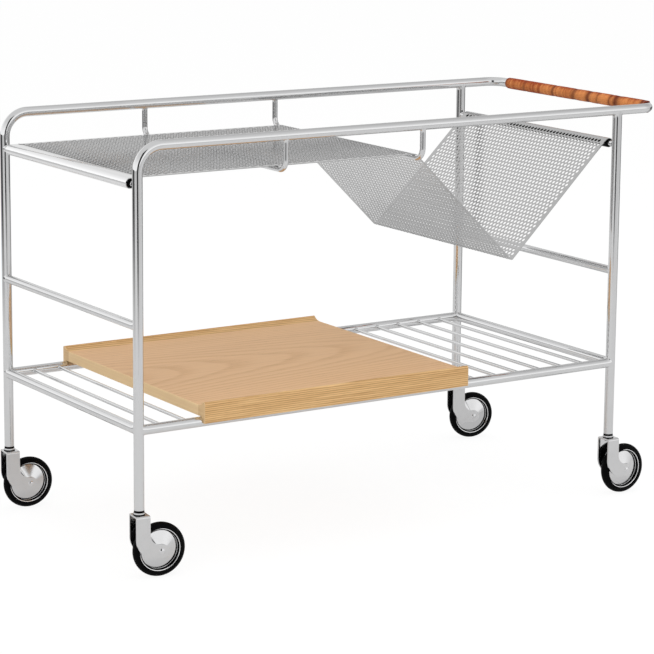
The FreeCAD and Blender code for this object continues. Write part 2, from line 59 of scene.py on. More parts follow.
X_AXIS = Vector((1, 0, 0))
Y_AXIS = Vector((0, 1, 0))
Z_AXIS = Vector((0, 0, 1))
RIGHT_ANGLE = math.pi / 2
SHARP_ANGLE = math.radians(38)
MERGE_DISTANCE = 1e-5
SEAM_LAYER = "seam"
# Leather tone of each panel, with painted shade towards the top and bottom of the bar added in.
TONE_AND_SHADE_LAYER = "tone"
Colour = tuple[float, float, float, float]
Triple = tuple[float, float, float]
Settings = dict[str, Any]
Inputs = dict[Union[str, int], Any]
WHITE: Colour = (1.0, 1.0, 1.0, 1.0)


class Slot(Enum):
    """Material slots of the record."""

    CHROME = "chrome_tube"
    SHEET = "grey_sheet"
    LEATHER = "tan_leather"
    PLASTIC = "black_plastic"


class Corner(Enum):
    """The four legs, as their casters' node names begin."""

    FRONT_LEFT = "front_left"
    REAR_LEFT = "rear_left"
    FRONT_RIGHT = "front_right"
    REAR_RIGHT = "rear_right"


class Fold(IntEnum):
    """Stretches of the folded sheet, from its left edge to its right edge."""

    LEFT_ROLL = 0
    SHELF = 1
    OVER_HANGER = 2
    POCKET_LEFT = 3
    POCKET_BOTTOM = 4
    POCKET_RIGHT = 5
    RIGHT_ROLL = 6


def srgb(red: int, green: int, blue: int) -> Colour:
    """Linear colour of an sRGB triple.

    Args:
        red: level from 0 to 255.
        green: level from 0 to 255.
        blue: level from 0 to 255.

    Returns:
        The colour, opaque.
    """
    def linear(level: int) -> float:
        """One channel, undone by the sRGB curve."""
        share = level / 255
        return share / 12.92 if share <= 0.04045 else ((share + 0.055) / 1.055) ** 2.4
    return linear(red), linear(green), linear(blue), 1.0


def darker(colour: Colour, share: float) -> Colour:
    """A colour with its levels brought down to a share of them."""
    red, green, blue, _ = colour
    return red * share, green * share, blue * share, 1.0


class Signal:
    """A shader value that takes part in Python sums."""

    def __init__(self, sheet: "ShaderSheet", socket: bpy.types.NodeSocket) -> None:
        """Keeps the sheet and the output socket."""
        self.sheet = sheet
        self.socket = socket

    def _math(self, operation: str, first: "Number", second: "Number") -> "Signal":
        """Adds one Math node."""
        return self.sheet.node("ShaderNodeMath", {"operation": operation}, {0: first, 1: second})

    def __add__(self, other: "Number") -> "Signal":
        """Sum."""
        return self._math("ADD", self, other)

    __radd__ = __add__

    def __sub__(self, other: "Number") -> "Signal":
        """Difference."""
        return self._math("SUBTRACT", self, other)

    def __rsub__(self, other: "Number") -> "Signal":
        """Difference from a number."""
        return self._math("SUBTRACT", other, self)

    def __mul__(self, other: "Number") -> "Signal":
        """Product."""
        return self._math("MULTIPLY", self, other)

    __rmul__ = __mul__

    def __pow__(self, other: "Number") -> "Signal":
        """Power."""
        return self._math("POWER", self, other)

    def call(self, operation: str, other: "Number" = 0.0) -> "Signal":
        """Any other Math operation."""
        return self._math(operation, self, other)

    def band(self, low: float, high: float) -> "Signal":
        """Smooth step from 0 at low to 1 at high."""
        settings = {"interpolation_type": "SMOOTHSTEP"}
        return self.sheet.node("ShaderNodeMapRange", settings, {0: self, 1: low, 2: high})

    def part(self, name: str) -> "Signal":
        """Another output of the same node."""
        return Signal(self.sheet, self.socket.node.outputs[name])


Number = Union[Signal, float, int]


class ShaderSheet:
    """Node tree of one material or of the world."""

    def __init__(self, owner: Union[bpy.types.Material, bpy.types.World]) -> None:
        """Empties the owner's node tree.

        Args:
            owner: the material or world whose nodes are written.
        """
        owner.use_nodes = True
        self.tree = owner.node_tree
        self.tree.nodes.clear()

    def place(self, kind: str, settings: Settings, inputs: Inputs) -> bpy.types.Node:
        """Adds any node.

        Args:
            kind: the node's type.
            settings: properties that are set first.
            inputs: values or signals for its sockets, by name or number.

        Returns:
            The node.
        """
        node = self.tree.nodes.new(kind)
        for key, value in settings.items():
            setattr(node, key, value)
        for key, value in inputs.items():
            if isinstance(value, Signal):
                self.tree.links.new(value.socket, node.inputs[key])
            else:
                node.inputs[key].default_value = value
        return node

    def node(
        self,
        kind: str,
        settings: Optional[Settings] = None,
        inputs: Optional[Inputs] = None,
        output: Union[str, int] = 0,
    ) -> Signal:
        """Adds any node and returns one of its outputs."""
        return Signal(self, self.place(kind, settings or {}, inputs or {}).outputs[output])

    def coordinates(self) -> Signal:
        """Object coordinates, in metres."""
        return self.node("ShaderNodeTexCoord", output="Object")

    def attribute(self, name: str) -> Signal:
        """A value that the piece's mesh carries."""
        return self.node("ShaderNodeAttribute", {"attribute_name": name}, None, "Fac")

    def axes(self, vector: Signal) -> tuple[Signal, Signal, Signal]:
        """The X, Y and Z of a vector."""
        first = self.node("ShaderNodeSeparateXYZ", None, {0: vector}, "X")
        return first, first.part("Y"), first.part("Z")

    def scaled(self, vector: Signal, scale: Triple, turn: Triple = (0, 0, 0)) -> Signal:
        """A vector stretched and turned by a Mapping node."""
        return self.node("ShaderNodeMapping", None, {"Vector": vector, "Scale": scale, "Rotation": turn})

    def noise(self, vector: Signal, scale: float, detail: float = 3.0, roughness: float = 0.5) -> Signal:
        """Noise between 0 and 1."""
        inputs = {"Vector": vector, "Scale": scale, "Detail": detail, "Roughness": roughness}
        return self.node("ShaderNodeTexNoise", None, inputs)

    def drawn_noise(self, vector: Signal, scale: Triple, detail: float, roughness: float = 0.5) -> Signal:
        """Noise with its own scale along each axis."""
        return self.noise(self.scaled(vector, scale), 1.0, detail, roughness)

    def mix(self, share: Number, first: Any, second: Any) -> Signal:
        """Colour between two colours."""
        settings = {"data_type": "RGBA", "clamp_factor": True}
        return self.node("ShaderNodeMix", settings, {0: share, 6: first, 7: second}, 2)

    def bump(self, height: Signal, strength: float, distance: float) -> Signal:
        """Normal from a height."""
        inputs = {"Height": height, "Strength": strength, "Distance": distance}
        return self.node("ShaderNodeBump", None, inputs)

    def surface(self, inputs: dict[str, Any]) -> None:
        """Closes a material with a Principled shader."""
        shader = self.node("ShaderNodeBsdfPrincipled", None, inputs)
        self.close(shader)

    def close(self, shader: Signal) -> None:
        """Links a shader to the surface output.

        Args:
            shader: what the surface shows.
        """
        is_world = isinstance(self.tree.id_data, bpy.types.World)
        kind = "ShaderNodeOutputWorld" if is_world else "ShaderNodeOutputMaterial"
        self.place(kind, {}, {"Surface": shader})


def new_sheet(name: str) -> tuple[bpy.types.Material, ShaderSheet]:
    """A new material with an empty node tree.

    Args:
        name: the material's name.

    Returns:
        The material and its sheet.
    """
    material = bpy.data.materials.new(name)
    return material, ShaderSheet(material)


@dataclass(frozen=True)
class PlatedFinish:
    """Bright plating with a faint haze from handling and a slightly wavy polish."""

    name: str
    tint: Colour
    roughness: float
    haze: float
    haze_scale: float
    ripple: float
    haze_shade: float = 0.93
    specks_to_haze: float = 28.0
    scuff_scale: Triple = (30, 30, 900)
    wave_scale: float = 55.0
    wave_height: float = 0.0006

    def make(self) -> bpy.types.Material:
        """Builds the material.

        Returns:
            The material.
        """
        material, sheet = new_sheet(self.name)
        place = sheet.coordinates()
        haze = sheet.noise(place, self.haze_scale, 5.0, 0.6).band(0.42, 0.72)
        specks = sheet.noise(place, self.haze_scale * self.specks_to_haze, 2.0).band(0.58, 0.74)
        scuffs = sheet.drawn_noise(place, self.scuff_scale, 2.0).band(0.6, 0.8)
        wave = sheet.noise(place, self.wave_scale, 2.0)
        dull = darker(self.tint, self.haze_shade)
        sheet.surface({
            "Base Color": sheet.mix(haze * 0.6 + specks * 0.25, self.tint, dull),
            "Metallic": 1.0,
            "Roughness": self.roughness + haze * self.haze + (specks + scuffs) * (self.haze * 0.5),
            "Normal": sheet.bump(wave, self.ripple, self.wave_height),
        })
        return material


@dataclass(frozen=True)
class SheetFinish:
    """Satin metal sheet with a fine rolled grain; its plain rolled edge at the left is polished and has a
    brighter tint, a painted highlight.
    """

    name: str
    tint: Colour
    roughness: float
    painted_edge_highlight_tint: Colour
    edge_roughness: float
    edge_x: float
    edge_width: float = 0.008
    cloud_shade: float = 0.9
    cloud_scale: float = 7.0
    grain_scale: Triple = (2600, 140, 2600)
    grain_height: float = 0.0002

    def make(self) -> bpy.types.Material:
        """Builds the material.

        Returns:
            The material.
        """
        material, sheet = new_sheet(self.name)
        place = sheet.coordinates()
        cloud = sheet.noise(place, self.cloud_scale, 4.0)
        grain = sheet.drawn_noise(place, self.grain_scale, 2.0)
        along, _, _ = sheet.axes(place)
        satin = along.band(self.edge_x, self.edge_x + self.edge_width)
        dull = darker(self.tint, self.cloud_shade)
        field_tint = sheet.mix(cloud.band(0.3, 0.7) * 0.5 + grain * 0.3, self.tint, dull)
        uneven = (cloud - 0.5) * 0.12 + (grain - 0.5) * 0.1
        sheet.surface({
            # Painted highlight: the rolled left edge gets a brighter tint than the rest of the sheet; its
            # lower roughness is the polish.
            "Base Color": sheet.mix(satin, self.painted_edge_highlight_tint, field_tint),
            "Metallic": 1.0,
            "Roughness": self.edge_roughness + satin * (uneven + (self.roughness - self.edge_roughness)),
            "Normal": sheet.bump(grain, 0.12, self.grain_height),
        })
        return material


@dataclass(frozen=True)
class OakFinish:
    """Oiled flat-sawn oak: arched growth rings, fibres and pores along X, a pale band on both ends."""

    name: str
    pale: Colour
    deep: Colour
    ring_width: float
    rings: float
    heart_depth: float
    tilt: float
    streak_scale: float
    streaks: float
    ends: tuple[float, float]
    end_shade: float
    end_band: float = 0.0012
    end_tint: Colour = srgb(255, 221, 170)
    end_scale: Triple = (380, 3, 380)
    heart_slope: float = 0.05
    sway: float = 1.6
    sway_scale: Triple = (3.2, 9, 9)
    fibre_scale: Triple = (5, 620, 620)
    streak_along: float = 2.2
    pore_scale: Triple = (55, 2100, 2100)
    pore_shade: float = 0.55
    patch_scale: Triple = (1.6, 7, 7)
    grain_height: float = 0.0003

    def late_wood(self, sheet: ShaderSheet, place: Signal) -> Signal:
        """Finds the dense part of each growth ring.

        Args:
            sheet: the material's sheet.
            place: coordinates that lie along the grain.

        Returns:
            1 in the dense part and 0 in the open part.
        """
        along, across, depth = sheet.axes(place)
        sway = sheet.drawn_noise(place, self.sway_scale, 3.0) - 0.5
        heart = along * self.heart_slope + depth + self.heart_depth
        ring = (across * across + heart * heart).call("SQRT") + sway * (self.ring_width * self.sway)
        phase = (ring * (1 / self.ring_width)).call("FRACT")
        return phase.band(0.0, 0.55) * (1 - phase.band(0.86, 1.0))

    def banded(self, sheet: ShaderSheet, grained: Signal) -> Signal:
        """Covers both ends with their pale band.

        Args:
            sheet: the material's sheet.
            grained: colour of the wood between the ends.

        Returns:
            The colour everywhere.
        """
        place = sheet.coordinates()
        along, _, _ = sheet.axes(place)
        left, right = self.ends
        middle = along.band(left, left + self.end_band) * (1 - along.band(right - self.end_band, right))
        lines = sheet.drawn_noise(place, self.end_scale, 3.0, 0.6).band(0.3, 0.7)
        band = sheet.mix(lines * 0.12 + self.end_shade, self.end_tint, self.deep)
        return sheet.mix(middle.band(0.9, 1.0), band, grained)

    def make(self) -> bpy.types.Material:
        """Builds the material.

        Returns:
            The material.
        """
        material, sheet = new_sheet(self.name)
        place = sheet.scaled(sheet.coordinates(), (1, 1, 1), (0, self.tilt, self.tilt))
        late = self.late_wood(sheet, place)
        fibre = sheet.drawn_noise(place, self.fibre_scale, 4.0, 0.65)
        streak_scale = (self.streak_along, self.streak_scale, self.streak_scale)
        streaks = sheet.drawn_noise(place, streak_scale, 3.0, 0.6).band(0.25, 0.75)
        pores = sheet.drawn_noise(place, self.pore_scale, 1.0).band(0.62, 0.7) * (1 - late * 0.75)
        patch = sheet.drawn_noise(place, self.patch_scale, 2.0)
        tone = (1 - late) * self.rings + fibre * 0.35 + streaks * self.streaks + (patch - 0.5) * 0.35
        wood = sheet.mix(tone.band(0.05, 0.95), self.pale, self.deep)
        grained = sheet.mix(pores * 0.42, wood, darker(self.deep, self.pore_shade))
        sheet.surface({
            "Base Color": self.banded(sheet, grained),
            "Roughness": 0.5 + fibre * 0.12 - late * 0.06,
            "Specular IOR Level": 0.35,
            "Normal": sheet.bump(fibre * 0.4 - pores * 0.6, 0.16, self.grain_height),
        })
        return material


@dataclass(frozen=True)
class LeatherFinish:
    """Vegetable-tanned leather: burnished seams, a tone for each panel between them with painted shade
    towards the top and bottom of the bar, fine grain.
    """

    name: str
    pale: Colour
    deep: Colour
    burnt: Colour
    grain_scale: float = 900.0
    crease_scale: Triple = (25, 260, 25)
    mottle_scale: float = 95.0
    grain_height: float = 0.0003

    def make(self) -> bpy.types.Material:
        """Builds the material.

        Returns:
            The material.
        """
        material, sheet = new_sheet(self.name)
        place = sheet.coordinates()
        seam, tone = sheet.attribute(SEAM_LAYER), sheet.attribute(TONE_AND_SHADE_LAYER)
        grain = sheet.node("ShaderNodeTexVoronoi", None, {"Vector": place, "Scale": self.grain_scale})
        creases = sheet.drawn_noise(place, self.crease_scale, 3.0, 0.6)
        mottle = sheet.noise(place, self.mottle_scale, 4.0, 0.6)
        # The tone attribute holds each panel's tone plus painted shade towards the top and bottom of the
        # bar.
        shade = tone * 0.8 + (mottle - 0.5) * 0.55 + (creases - 0.5) * 1.4
        hide = sheet.mix(shade.band(0.0, 1.0), self.pale, self.deep)
        sheet.surface({
            "Base Color": sheet.mix(seam * 0.9, hide, self.burnt),
            "Roughness": 0.46 + mottle * 0.14 + grain * 0.1,
            "Specular IOR Level": 0.16,
            "Normal": sheet.bump(grain * 0.35 + creases * 0.65 - seam * 0.5, 0.35, self.grain_height),
        })
        return material


@dataclass(frozen=True)
class MouldedFinish:
    """Moulded plastic or rubber with a fine spark-eroded grain and paler scuffs."""

    name: str
    colour: Colour
    scuff: Colour
    roughness: float
    grain_scale: float
    scuff_scale: float = 46.0
    grain_height: float = 0.0003

    def make(self) -> bpy.types.Material:
        """Builds the material.

        Returns:
            The material.
        """
        material, sheet = new_sheet(self.name)
        place = sheet.coordinates()
        grain = sheet.noise(place, self.grain_scale, 2.0)
        scuffs = sheet.noise(place, self.scuff_scale, 5.0, 0.65).band(0.56, 0.8)
        sheet.surface({
            "Base Color": sheet.mix(scuffs * 0.6, self.colour, self.scuff),
            "Roughness": self.roughness + scuffs * 0.14 + (grain - 0.5) * 0.12,
            "Specular IOR Level": 0.05,
            "Normal": sheet.bump(grain, 0.18, self.grain_height),
        })
        return material


Finish = Union[PlatedFinish, SheetFinish, OakFinish, LeatherFinish, MouldedFinish]
CHROME = PlatedFinish(
    "chrome_plated_tube", (0.70, 0.702, 0.707, 1.0), roughness=0.05, haze=0.06, haze_scale=8.0, ripple=0.05
)
CASTER_CHROME = PlatedFinish(
    "chrome_plated_pressing", (0.68, 0.68, 0.685, 1.0),
    roughness=0.08, haze=0.10, haze_scale=24.0, ripple=0.06,
)
# Chrome of the wheels' trim rings. Its tint is brighter than real chrome, a painted highlight that makes
# the flat rings shine like rounded ones.
TRIM_CHROME_WITH_PAINTED_HIGHLIGHT = PlatedFinish(
    "chrome_trim_ring_painted_highlight", (0.96, 0.96, 0.965, 1.0), roughness=0.12, haze=0.06, haze_scale=24.0, ripple=0.04
)
STEEL = PlatedFinish(
    "bright_turned_steel", (0.72, 0.72, 0.73, 1.0), roughness=0.16, haze=0.12, haze_scale=60.0, ripple=0.08
)
LEATHER = LeatherFinish(
    "tan_leather_strip", pale=srgb(236, 151, 87), deep=srgb(157, 61, 13), burnt=srgb(88, 18, 0)
)
BLACK_PLASTIC = MouldedFinish(
    "black_moulding", srgb(5, 5, 6), scuff=srgb(16, 16, 17), roughness=0.42, grain_scale=1900.0
)
RUBBER = MouldedFinish(
    "black_rubber", srgb(4, 4, 5), scuff=srgb(14, 14, 15), roughness=0.5, grain_scale=1300.0
)


class Finishes:
    """Materials made once and shared by the pieces."""

    def __init__(self) -> None:
        """Starts with no material."""
        self._made: dict[str, bpy.types.Material] = {}

    def of(self, finish: Finish) -> bpy.types.Material:
        """The material of a finish, built on first use.

        Args:
            finish: the finish.

        Returns:
            Its material.
        """
        if finish.name not in self._made:
            self._made[finish.name] = finish.make()
        return self._made[finish.name]


FINISHES = Finishes()


def stand(bm: BMesh, name: str, material: bpy.types.Material) -> bpy.types.Object:
    """Turns a finished bmesh into an object of the scene.

    Args:
        bm: the mesh, with its place in its vertices; it is freed.
        name: the object's name.
        material: what it wears.

    Returns:
        The new object.
    """
    mesh = bpy.data.meshes.new(name)
    bm.to_mesh(mesh)
    bm.free()
    mesh.materials.append(material)
    item = bpy.data.objects.new(name, mesh)
    bpy.context.scene.collection.objects.link(item)
    return item


def publish(bm: BMesh, name: str, finish: Finish, nodes: Sequence[str]) -> None:
    """Turns a finished bmesh into a piece of the frame that stands for CAD nodes.

    Args:
        bm: the mesh, with its place in its vertices; it is freed.
        name: the piece's name.
        finish: the finish that it wears.
        nodes: the CAD nodes that it stands for.
    """
    piece = stand(bm, name, FINISHES.of(finish))
    piece.data.shade_smooth()
    piece.data.set_sharp_from_angle(angle=SHARP_ANGLE)
    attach(piece, "frame")
    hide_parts(*nodes)
    LOG.info("%s: %d faces", name, len(piece.data.polygons))


def dress(node: str, finish: Finish) -> None:
    """Gives a CAD node a finish.

    Args:
        node: the node's name.
        finish: the finish that it wears.
    """
    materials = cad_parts[node].data.materials
    materials.clear()
    materials.append(FINISHES.of(finish))
    LOG.info("%s dressed in %s", node, finish.name)


def ring_verts(ring: Iterable[BMEdge]) -> list[BMVert]:
    """The vertices of a ring of edges, each once and in a steady order."""
    return list(dict.fromkeys(vert for edge in ring for vert in edge.verts))


def grow(bm: BMesh, ring: Sequence[BMEdge]) -> tuple[list[BMEdge], list[BMVert]]:
    """Extrudes a row of edges in place.

    Args:
        bm: the mesh.
        ring: the edges.

    Returns:
        The new edges and their vertices.
    """
    grown = bmesh.ops.extrude_edge_only(bm, edges=list(ring))["geom"]
    verts = [item for item in grown if isinstance(item, BMVert)]
    fresh = set(verts)
    edges = [item for item in grown if isinstance(item, BMEdge) and fresh.issuperset(item.verts)]
    return edges, verts


@dataclass(frozen=True)
class Post:
    """A round tube that a rod is welded to: a point on its axis, its axis and its radius."""

    point: Vector
    axis: Vector
    radius: float


class Rod:
    """A round rod grown from one end: runs are extruded, bends spun, ends welded or capped.

    A weld step is a pair: the share of the bead added to the radius, and the share left as a gap.
    """

    WELD_STEPS = ((0.0, 1.0), (0.3, 0.35), (1.0, 0.0))
    SUNK = 0.001
    HOLD = 0.004
    WIDEST_SEAT = 0.98

    def __init__(self, bm: BMesh, start: Vector, heading: Vector, radius: float, sides: int) -> None:
        """Starts the rod with a ring.

        Args:
            bm: the mesh that takes the rod.
            start: middle of the first ring.
            heading: the way the rod leaves it.
            radius: the rod's radius.
            sides: vertices round it.
        """
        self.bm = bm
        self.radius = radius
        turn = Z_AXIS.rotation_difference(heading).to_matrix().to_4x4()
        place = Matrix.Translation(start) @ turn
        made = bmesh.ops.create_circle(bm, segments=sides, radius=radius, matrix=place)["verts"]
        self.first = [edge for edge in bm.edges if edge.verts[0] in made and edge.verts[1] in made]
        self.last = list(self.first)
        self.tip = start.copy()

    def run(self, end: Vector, steps: int = 1) -> "Rod":
        """Pushes the last ring straight to a point, in equal steps.

        Args:
            end: where the ring's middle goes.
            steps: how many.

        Returns:
            The rod.
        """
        step = (end - self.tip) / steps
        for _ in range(steps):
            self.last, verts = grow(self.bm, self.last)
            bmesh.ops.translate(self.bm, verts=verts, vec=step)
        self.tip = end.copy()
        return self

    def tube(self, end: Vector) -> "Rod":
        """Runs straight to a point, with a ring near each end that keeps the shading straight."""
        hold = (end - self.tip).normalized() * self.HOLD
        return self.run(self.tip + hold).run(end - hold).run(end)

    def bend(self, centre: Vector, axis: Vector, steps: int) -> "Rod":
        """Spins the last ring a quarter turn.

        Args:
            centre: a point on the axis.
            axis: what it turns about.
            steps: how many.

        Returns:
            The rod.
        """
        geom = list(self.last) + ring_verts(self.last)
        spun = bmesh.ops.spin(
            self.bm, geom=geom, cent=centre, axis=axis,
            angle=RIGHT_ANGLE, steps=steps, use_duplicate=False,
        )
        self.last = [item for item in spun["geom_last"] if isinstance(item, BMEdge)]
        self.tip = centre + Matrix.Rotation(RIGHT_ANGLE, 3, axis) @ (self.tip - centre)
        return self

    def weld(self, ring: Sequence[BMEdge], post: Post, bead: float) -> None:
        """Fits an end ring to a post, adds the weld's hollow fillet and closes the end inside the post.

        Args:
            ring: the end ring.
            post: the tube that it meets; its point lies on the rod's axis.
            bead: leg of the fillet.
        """
        middle = sum((vert.co for vert in ring_verts(ring)), Vector()) / len(ring)
        heading = (post.point - middle).normalized()
        edges = list(ring)
        verts = ring_verts(edges)
        for grown, gap in self.WELD_STEPS:
            if gap < 1:
                edges, verts = grow(self.bm, edges)
            for vert in verts:
                self._seat(vert, post, heading, self.radius + bead * grown, bead * gap)
        edges, verts = grow(self.bm, edges)
        bmesh.ops.translate(self.bm, verts=verts, vec=heading * self.SUNK)
        bmesh.ops.edgeloop_fill(self.bm, edges=edges)

    def _seat(self, vert: BMVert, post: Post, heading: Vector, radius: float, gap: float) -> None:
        """Moves one vertex of an end ring to its place over the post's surface.

        Args:
            vert: the vertex.
            post: the tube that the ring meets.
            heading: the way the rod meets it.
            radius: how far the vertex is from the rod's axis.
            gap: how far it stays from the post.
        """
        side = heading.cross(post.axis).normalized()
        offset = vert.co - post.point
        spoke = offset - heading * offset.dot(heading)
        spoke = spoke.normalized() * radius
        reach = spoke.dot(side)
        limit = post.radius * self.WIDEST_SEAT
        kept = max(-limit, min(limit, reach))
        spoke += side * (kept - reach)
        vert.co = post.point + spoke - heading * (math.sqrt(post.radius ** 2 - kept ** 2) + gap)

    def cap(self, ring: Sequence[BMEdge]) -> None:
        """Closes an end ring with a flat face."""
        bmesh.ops.edgeloop_fill(self.bm, edges=list(ring))


@dataclass
class TubeFrame:
    """Welded chrome frame: bent hoop, right legs, lower rails, cross bars, rods and wires."""

    leg_spacing: float = 0.800
    width: float = 0.396
    handle_reach: float = 0.070
    top_z: float = 0.584
    mid_z: float = 0.344
    low_z: float = 0.204
    foot_z: float = 0.095
    tube_r: float = 0.007
    mid_bar_r: float = 0.006
    leg_bend: float = 0.035
    handle_bend: float = 0.024
    rod_r: float = 0.004
    rod_z: float = 0.536
    roll_r: float = 0.0066
    middle_hanger: float = 0.227
    pocket_hanger: float = 0.452
    hanger_bend: float = 0.015
    wire_r: float = 0.0025
    wires: int = 19
    bead: float = 0.0012
    sides: int = 48
    bend_steps: int = 20
    left_x: float = field(init=False)
    right_x: float = field(init=False)
    handle_x: float = field(init=False)
    front_y: float = field(init=False)
    rear_y: float = field(init=False)
    roll_z: float = field(init=False)

    def __post_init__(self) -> None:
        """Works out where the legs, the handle and the rolled edges stand."""
        self.left_x = -(self.leg_spacing + self.handle_reach) / 2
        self.right_x = self.left_x + self.leg_spacing
        self.handle_x = self.right_x + self.handle_reach
        self.front_y = -self.width / 2
        self.rear_y = self.width / 2
        self.roll_z = self.rod_z + self.rod_r - self.roll_r

    def build(self) -> None:
        """Makes every piece of the frame."""
        self.hoop()
        for name, y in (("front", self.front_y), ("rear", self.rear_y)):
            self.right_leg(name, y)
            self.low_rail(name, y)
        for end, x in (("left", self.left_x), ("right", self.right_x)):
            self.cross_bar(end + "_mid_crossbar", x, self.mid_z, self.mid_bar_r)
            self.cross_bar(end + "_bottom_crossbar", x, self.low_z, self.tube_r)
            self.cross_bar(end + "_shelf_rod", x, self.roll_z, self.rod_r)
        self.hanger("middle_hanger_rod", self.left_x + self.middle_hanger)
        self.hanger("pocket_hanger_rod", self.left_x + self.pocket_hanger)
        self.low_wires()

    def leg_post(self, x: float, y: float, z: float) -> Post:
        """A leg as a post at one height."""
        return Post(Vector((x, y, z)), Z_AXIS, self.tube_r)

    def rail_post(self, x: float, y: float, z: float) -> Post:
        """A side rail as a post at one place."""
        return Post(Vector((x, y, z)), X_AXIS, self.tube_r)

    def close(self, bm: BMesh, node: str) -> None:
        """Publishes a chrome piece that stands for one node."""
        bmesh.ops.recalc_face_normals(bm, faces=bm.faces)
        publish(bm, "chrome_" + node, CHROME, [node])

    def hoop(self) -> None:
        """The bent tube: left leg, front rail, handle, rear rail, left leg."""
        bm = bmesh.new()
        top, low = self.top_z, self.top_z - self.leg_bend
        turn_x = self.left_x + self.leg_bend
        corner_x = self.handle_x - self.handle_bend
        front_in = self.front_y + self.handle_bend
        rear_in = self.rear_y - self.handle_bend
        rod = Rod(bm, Vector((self.left_x, self.front_y, self.foot_z)), Z_AXIS, self.tube_r, self.sides)
        rod.tube(Vector((self.left_x, self.front_y, low)))
        rod.bend(Vector((turn_x, self.front_y, low)), Y_AXIS, self.bend_steps)
        rod.tube(Vector((corner_x, self.front_y, top)))
        rod.bend(Vector((corner_x, front_in, top)), Z_AXIS, self.bend_steps)
        rod.tube(Vector((self.handle_x, rear_in, top)))
        rod.bend(Vector((corner_x, rear_in, top)), Z_AXIS, self.bend_steps)
        rod.tube(Vector((turn_x, self.rear_y, top)))
        rod.bend(Vector((turn_x, self.rear_y, low)), -Y_AXIS, self.bend_steps)
        rod.tube(Vector((self.left_x, self.rear_y, self.foot_z)))
        rod.cap(rod.first)
        rod.cap(rod.last)
        self.close(bm, "main_hoop")

    def right_leg(self, name: str, y: float) -> None:
        """A straight leg, welded under its top rail.

        Args:
            name: front or rear.
            y: where it stands.
        """
        bm = bmesh.new()
        rod = Rod(bm, Vector((self.right_x, y, self.foot_z)), Z_AXIS, self.tube_r, self.sides)
        rod.tube(Vector((self.right_x, y, self.top_z - self.tube_r)))
        rod.cap(rod.first)
        rod.weld(rod.last, self.rail_post(self.right_x, y, self.top_z), self.bead)
        self.close(bm, "right_" + name + "_leg")

    def low_rail(self, name: str, y: float) -> None:
        """A lower side rail, welded between its legs.

        Args:
            name: front or rear.
            y: where it runs.
        """
        bm = bmesh.new()
        start = Vector((self.left_x + self.tube_r, y, self.low_z))
        rod = Rod(bm, start, X_AXIS, self.tube_r, self.sides)
        rod.tube(Vector((self.right_x - self.tube_r, y, self.low_z)))
        rod.weld(rod.first, self.leg_post(self.left_x, y, self.low_z), self.bead)
        rod.weld(rod.last, self.leg_post(self.right_x, y, self.low_z), self.bead)
        self.close(bm, name + "_bottom_rail")

    def cross_bar(self, node: str, x: float, z: float, radius: float) -> None:
        """A bar along Y, welded between the two legs of one end.

        Args:
            node: the node that it stands for.
            x: where it runs.
            z: its height.
            radius: its radius.
        """
        bm = bmesh.new()
        rod = Rod(bm, Vector((x, self.front_y + self.tube_r, z)), Y_AXIS, radius, self.sides)
        rod.tube(Vector((x, self.rear_y - self.tube_r, z)))
        rod.weld(rod.first, self.leg_post(x, self.front_y, z), self.bead)
        rod.weld(rod.last, self.leg_post(x, self.rear_y, z), self.bead)
        self.close(bm, node)

    def hanger(self, node: str, x: float) -> None:
        """A U-shaped rod that hangs from both top rails.

        Args:
            node: the node that it stands for.
            x: where it hangs.
        """
        bm = bmesh.new()
        under = self.top_z - self.tube_r
        up = self.rod_z + self.hanger_bend
        front_in = self.front_y + self.hanger_bend
        rear_in = self.rear_y - self.hanger_bend
        rod = Rod(bm, Vector((x, self.front_y, under)), -Z_AXIS, self.rod_r, self.sides)
        rod.tube(Vector((x, self.front_y, up)))
        rod.bend(Vector((x, front_in, up)), X_AXIS, self.bend_steps)
        rod.tube(Vector((x, rear_in, self.rod_z)))
        rod.bend(Vector((x, rear_in, up)), X_AXIS, self.bend_steps)
        rod.tube(Vector((x, self.rear_y, under)))
        rod.weld(rod.first, self.rail_post(x, self.front_y, self.top_z), self.bead)
        rod.weld(rod.last, self.rail_post(x, self.rear_y, self.top_z), self.bead)
        self.close(bm, node)

    def low_wires(self) -> None:
        """Cross wires between the lower rails."""
        bm = bmesh.new()
        pitch = self.leg_spacing / (self.wires + 1)
        for i in range(self.wires):
            x = self.left_x + pitch * (i + 1)
            start = Vector((x, self.front_y + self.tube_r, self.low_z))
            rod = Rod(bm, start, Y_AXIS, self.wire_r, self.sides // 2)
            rod.tube(Vector((x, self.rear_y - self.tube_r, self.low_z)))
            rod.weld(rod.first, self.rail_post(x, self.front_y, self.low_z), self.bead)
            rod.weld(rod.last, self.rail_post(x, self.rear_y, self.low_z), self.bead)
        self.close(bm, "bottom_shelf_wires")


@dataclass(frozen=True)
class Stretch:
    """A stretch of the folded sheet's middle line: its length and its turn, left turns positive."""

    length: float
    turn: float = 0.0


